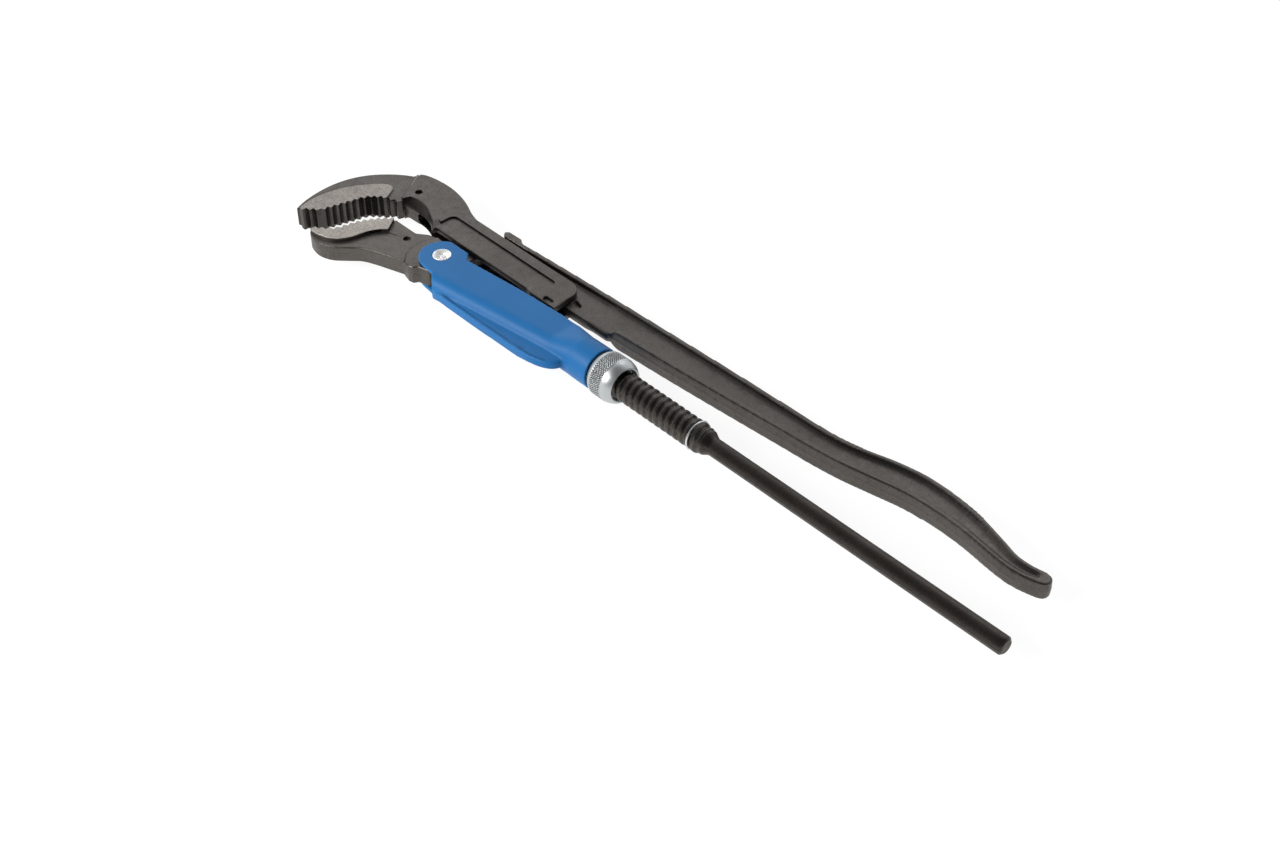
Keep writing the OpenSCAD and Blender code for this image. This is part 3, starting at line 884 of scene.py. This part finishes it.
def knurl_cut(x, turn):
    """Depth share of the diamond knurl's crossing grooves, from 0 to 1."""
    if not KNURL_FROM < x < KNURL_TO:
        return 0.0
    edge = min(1.0, (x - KNURL_FROM) / 0.5, (KNURL_TO - x) / 0.5)
    lead = 2 * math.pi / KNURLS
    along = (x - KNURL_FROM) / NUT_R
    a = ((turn + along) / lead) % 1.0
    b = ((turn - along) / lead) % 1.0
    ridge = min(abs(2 * a - 1), abs(2 * b - 1))
    return max(0.0, 1.0 - ridge * 1.7) * edge


def nut_radius(x, turn):
    """Outer radius of the nut: front chamfer, knurled band, smooth rear slope."""
    if x <= KNURL_FROM:
        t = (x - NUT_FRONT) / (KNURL_FROM - NUT_FRONT)
        return NUT_R - NUT_CHAMFER + (NUT_CHAMFER - 0.15) * math.sin(t * math.pi / 2)
    if x <= KNURL_TO:
        return NUT_R - 0.02 - KNURL_DEPTH * knurl_cut(x, turn)
    t = (x - KNURL_TO) / (NUT_REAR - KNURL_TO)
    return NUT_R - 0.28 - 2.3 * t ** 2.1


def bar_skin(name, xs, radius_of):
    """An open skin round the bar's axis through the places xs; radius_of takes (index, turn)."""
    verts, faces = [], []
    for i in range(NUT_STEPS):
        turn = 2 * math.pi * i / NUT_STEPS
        for k, x in enumerate(xs):
            radius = radius_of(k, turn)
            verts.append(at(x, radius * math.cos(turn), radius * math.sin(turn)))
    count = len(xs)
    for i in range(NUT_STEPS):
        j = (i + 1) % NUT_STEPS
        for k in range(count - 1):
            faces.append((i * count + k, j * count + k, j * count + k + 1, i * count + k + 1))
    return mesh_from(name, verts, faces)


def nut_mesh():
    """The knurled outside and the bored inside with its neck, joined at both ends."""
    xs = [NUT_FRONT + d for d in (0.0, 0.1, 0.29, 0.31, 0.6, 1.0, 1.6, 2.3, 3.1, 4.0)]
    bands = 60
    xs += [KNURL_FROM + (KNURL_TO - KNURL_FROM) * i / bands for i in range(bands + 1)]
    slope = (0.06, 0.15, 0.3, 0.45, 0.6, 0.75, 0.88, 0.96, 1.0)
    xs += [KNURL_TO + (NUT_REAR - KNURL_TO) * t for t in slope]
    inside = [
        (NUT_REAR, NUT_R - 2.58), (NUT_REAR + 0.25, NUT_R - 2.9), (NUT_REAR + 0.25, 10.9),
        (NUT_REAR, 10.5), (NUT_REAR - 0.8, 10.1), (NUT_REAR - 3.2, 9.3),
        (NUT_REAR - 3.2, BORE_R), (NECK_FRONT, BORE_R),
        (NECK_FRONT, NECK_R - 0.5), (NECK_FRONT + 0.5, NECK_R),
        (GROOVE_FROM, NECK_R), (GROOVE_FROM, GROOVE_R), (GROOVE_TO, GROOVE_R),
        (GROOVE_TO, NECK_R), (NUT_FRONT, NECK_R), (NUT_FRONT, NUT_R - NUT_CHAMFER)]
    bm = bmesh.new()
    bm.from_mesh(bar_skin("nut_outer", xs, lambda k, turn: nut_radius(xs[k], turn)))
    bm.from_mesh(bar_skin("nut_inner", [x for x, _ in inside], lambda k, turn: inside[k][1]))
    bmesh.ops.remove_doubles(bm, verts=bm.verts, dist=NUT_WELD)
    bmesh.ops.recalc_face_normals(bm, faces=bm.faces)
    mesh = bpy.data.meshes.new("nut")
    bm.to_mesh(mesh)
    bm.free()
    return mesh


def make_nut():
    mesh = nut_mesh()
    set_wear_and_shade(mesh, 0.0)
    # the knurl's grooves and the gap behind the case's sleeve get painted shade
    for v, value in zip(mesh.vertices, mesh.attributes["painted_shade"].data):
        x, y, z = to_tool(v.co)
        if math.hypot(y, z) > 13.5:
            value.value = knurl_cut(x, math.atan2(z, y))
        elif x < NUT_FRONT + 0.3:
            value.value = 1.0
    shade(mesh, 50)
    add_object("adjusting_nut_knurled", mesh, "nut", [ZINC], ["adjusting_nut"])


make_nut()


# ---- rivet ----------------------------------------------------------------------------------
# One half of the rivet's outline, as (radius, height) from mid-thickness up to its cupped head.
RIVET_HALF = [
    (4.5, 7.2), (5.95, 8.7), (5.97, 9.15), (5.85, 9.4), (5.6, 9.5), (5.3, 9.44), (2.9, 7.5),
    (2.7, 7.2), (2.65, 6.5), (1.75, 6.5), (1.65, 7.6), (1.35, 8.05), (0.85, 8.3), (0.4, 8.36),
    (0.3, 8.1), (0.0, 8.1)]
RIVET_STEPS = 96


def make_rivet():
    profile = [(-z, r) for r, z in reversed(RIVET_HALF)] + [(z, r) for r, z in RIVET_HALF]
    verts, faces = [], []
    count = len(profile)
    for i in range(RIVET_STEPS):
        turn = 2 * math.pi * i / RIVET_STEPS
        for z, radius in profile:
            x, y = radius * math.cos(turn), radius * math.sin(turn)
            verts.append(at(PIVOT.x + x, PIVOT.y + y, z))
        j = (i + 1) % RIVET_STEPS
        for k in range(count):
            m = (k + 1) % count
            faces.append((i * count + k, j * count + k, j * count + m, i * count + m))
    mesh = faced_outward(mesh_from("rivet", verts, faces), weld=RIVET_WELD)
    set_wear_and_shade(mesh, 0.0)
    shade(mesh, 45)
    add_object("pivot_rivet_cupped", mesh, "case", [RIVET_SHEEN], ["pivot_rivet"])


make_rivet()


# ---- case -----------------------------------------------------------------------------------
FOLD_BAND = 1.5  # the rib's edge is looked up in bands of this length along x
FOLD_INSET, FOLD_WIDTH, FOLD_DEPTH = 2.1, 0.42, 0.3


def rib_fillet(x, y, z):
    """Where the belly runs into the rib's flanks, and where the rib ends in the sleeve."""
    spine = smooth_step((x - 19) / 5) * smooth_step((y + 24.2) / 1.5) * smooth_step((-9 - y) / 3)
    sleeve = smooth_step((x - 98) / 8) * smooth_step((136 - x) / 6)
    return max(spine * smooth_step((133 - x) / 4), sleeve)


def fold_line(mesh):
    """Presses a shallow crease beside the rib's folded edge; returns each vertex's share of it,
    which the paint darkens as painted shade.
    """
    edge = {}
    for v in mesh.vertices:
        x, y, z = to_tool(v.co)
        if 18 < x < 122 and abs(z) < 3.6:
            key = int(x / FOLD_BAND)
            edge[key] = min(edge.get(key, 99.0), y)
    values = []
    for v in mesh.vertices:
        x, y, z = to_tool(v.co)
        key = int(x / FOLD_BAND)
        share = 0.0
        if key in edge and 1.6 < abs(z) < 3.8 and 20 < x < 121:
            beside = [edge[k] for k in (key - 1, key, key + 1) if k in edge]
            off = y - sum(beside) / len(beside) - FOLD_INSET
            ends = smooth_step((x - 20) / 3) * smooth_step((118.5 - x) / 3)
            share = math.exp(-((off / FOLD_WIDTH) ** 2)) * ends
        values.append(share)
        v.co = at(x, y, z - math.copysign(FOLD_DEPTH * share, z))
    return values


def make_case():
    mesh = remeshed(cleaned("case", "case_shell"), 0.42, 8)
    mesh = softened(mesh, rib_fillet, 80)
    mesh = reduced(mesh, 0.45)
    fold_shade = fold_line(mesh)
    mesh.materials.clear()
    set_wear_and_shade(mesh, 0.8)
    # the crease beside the rib's fold gets painted shade
    mesh.attributes["painted_shade"].data.foreach_set("value", fold_shade)
    shade(mesh, 60)
    add_object("case_pressed", mesh, "case", [BLUE], ["case_shell"])


make_case()

# ---- the hidden snap ring keeps its CAD shape -----------------------------------------------
ring_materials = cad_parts["nut_snap_ring"].data.materials
ring_materials.clear()
ring_materials.append(WIRE)

make_floor()
make_world()
make_lights()
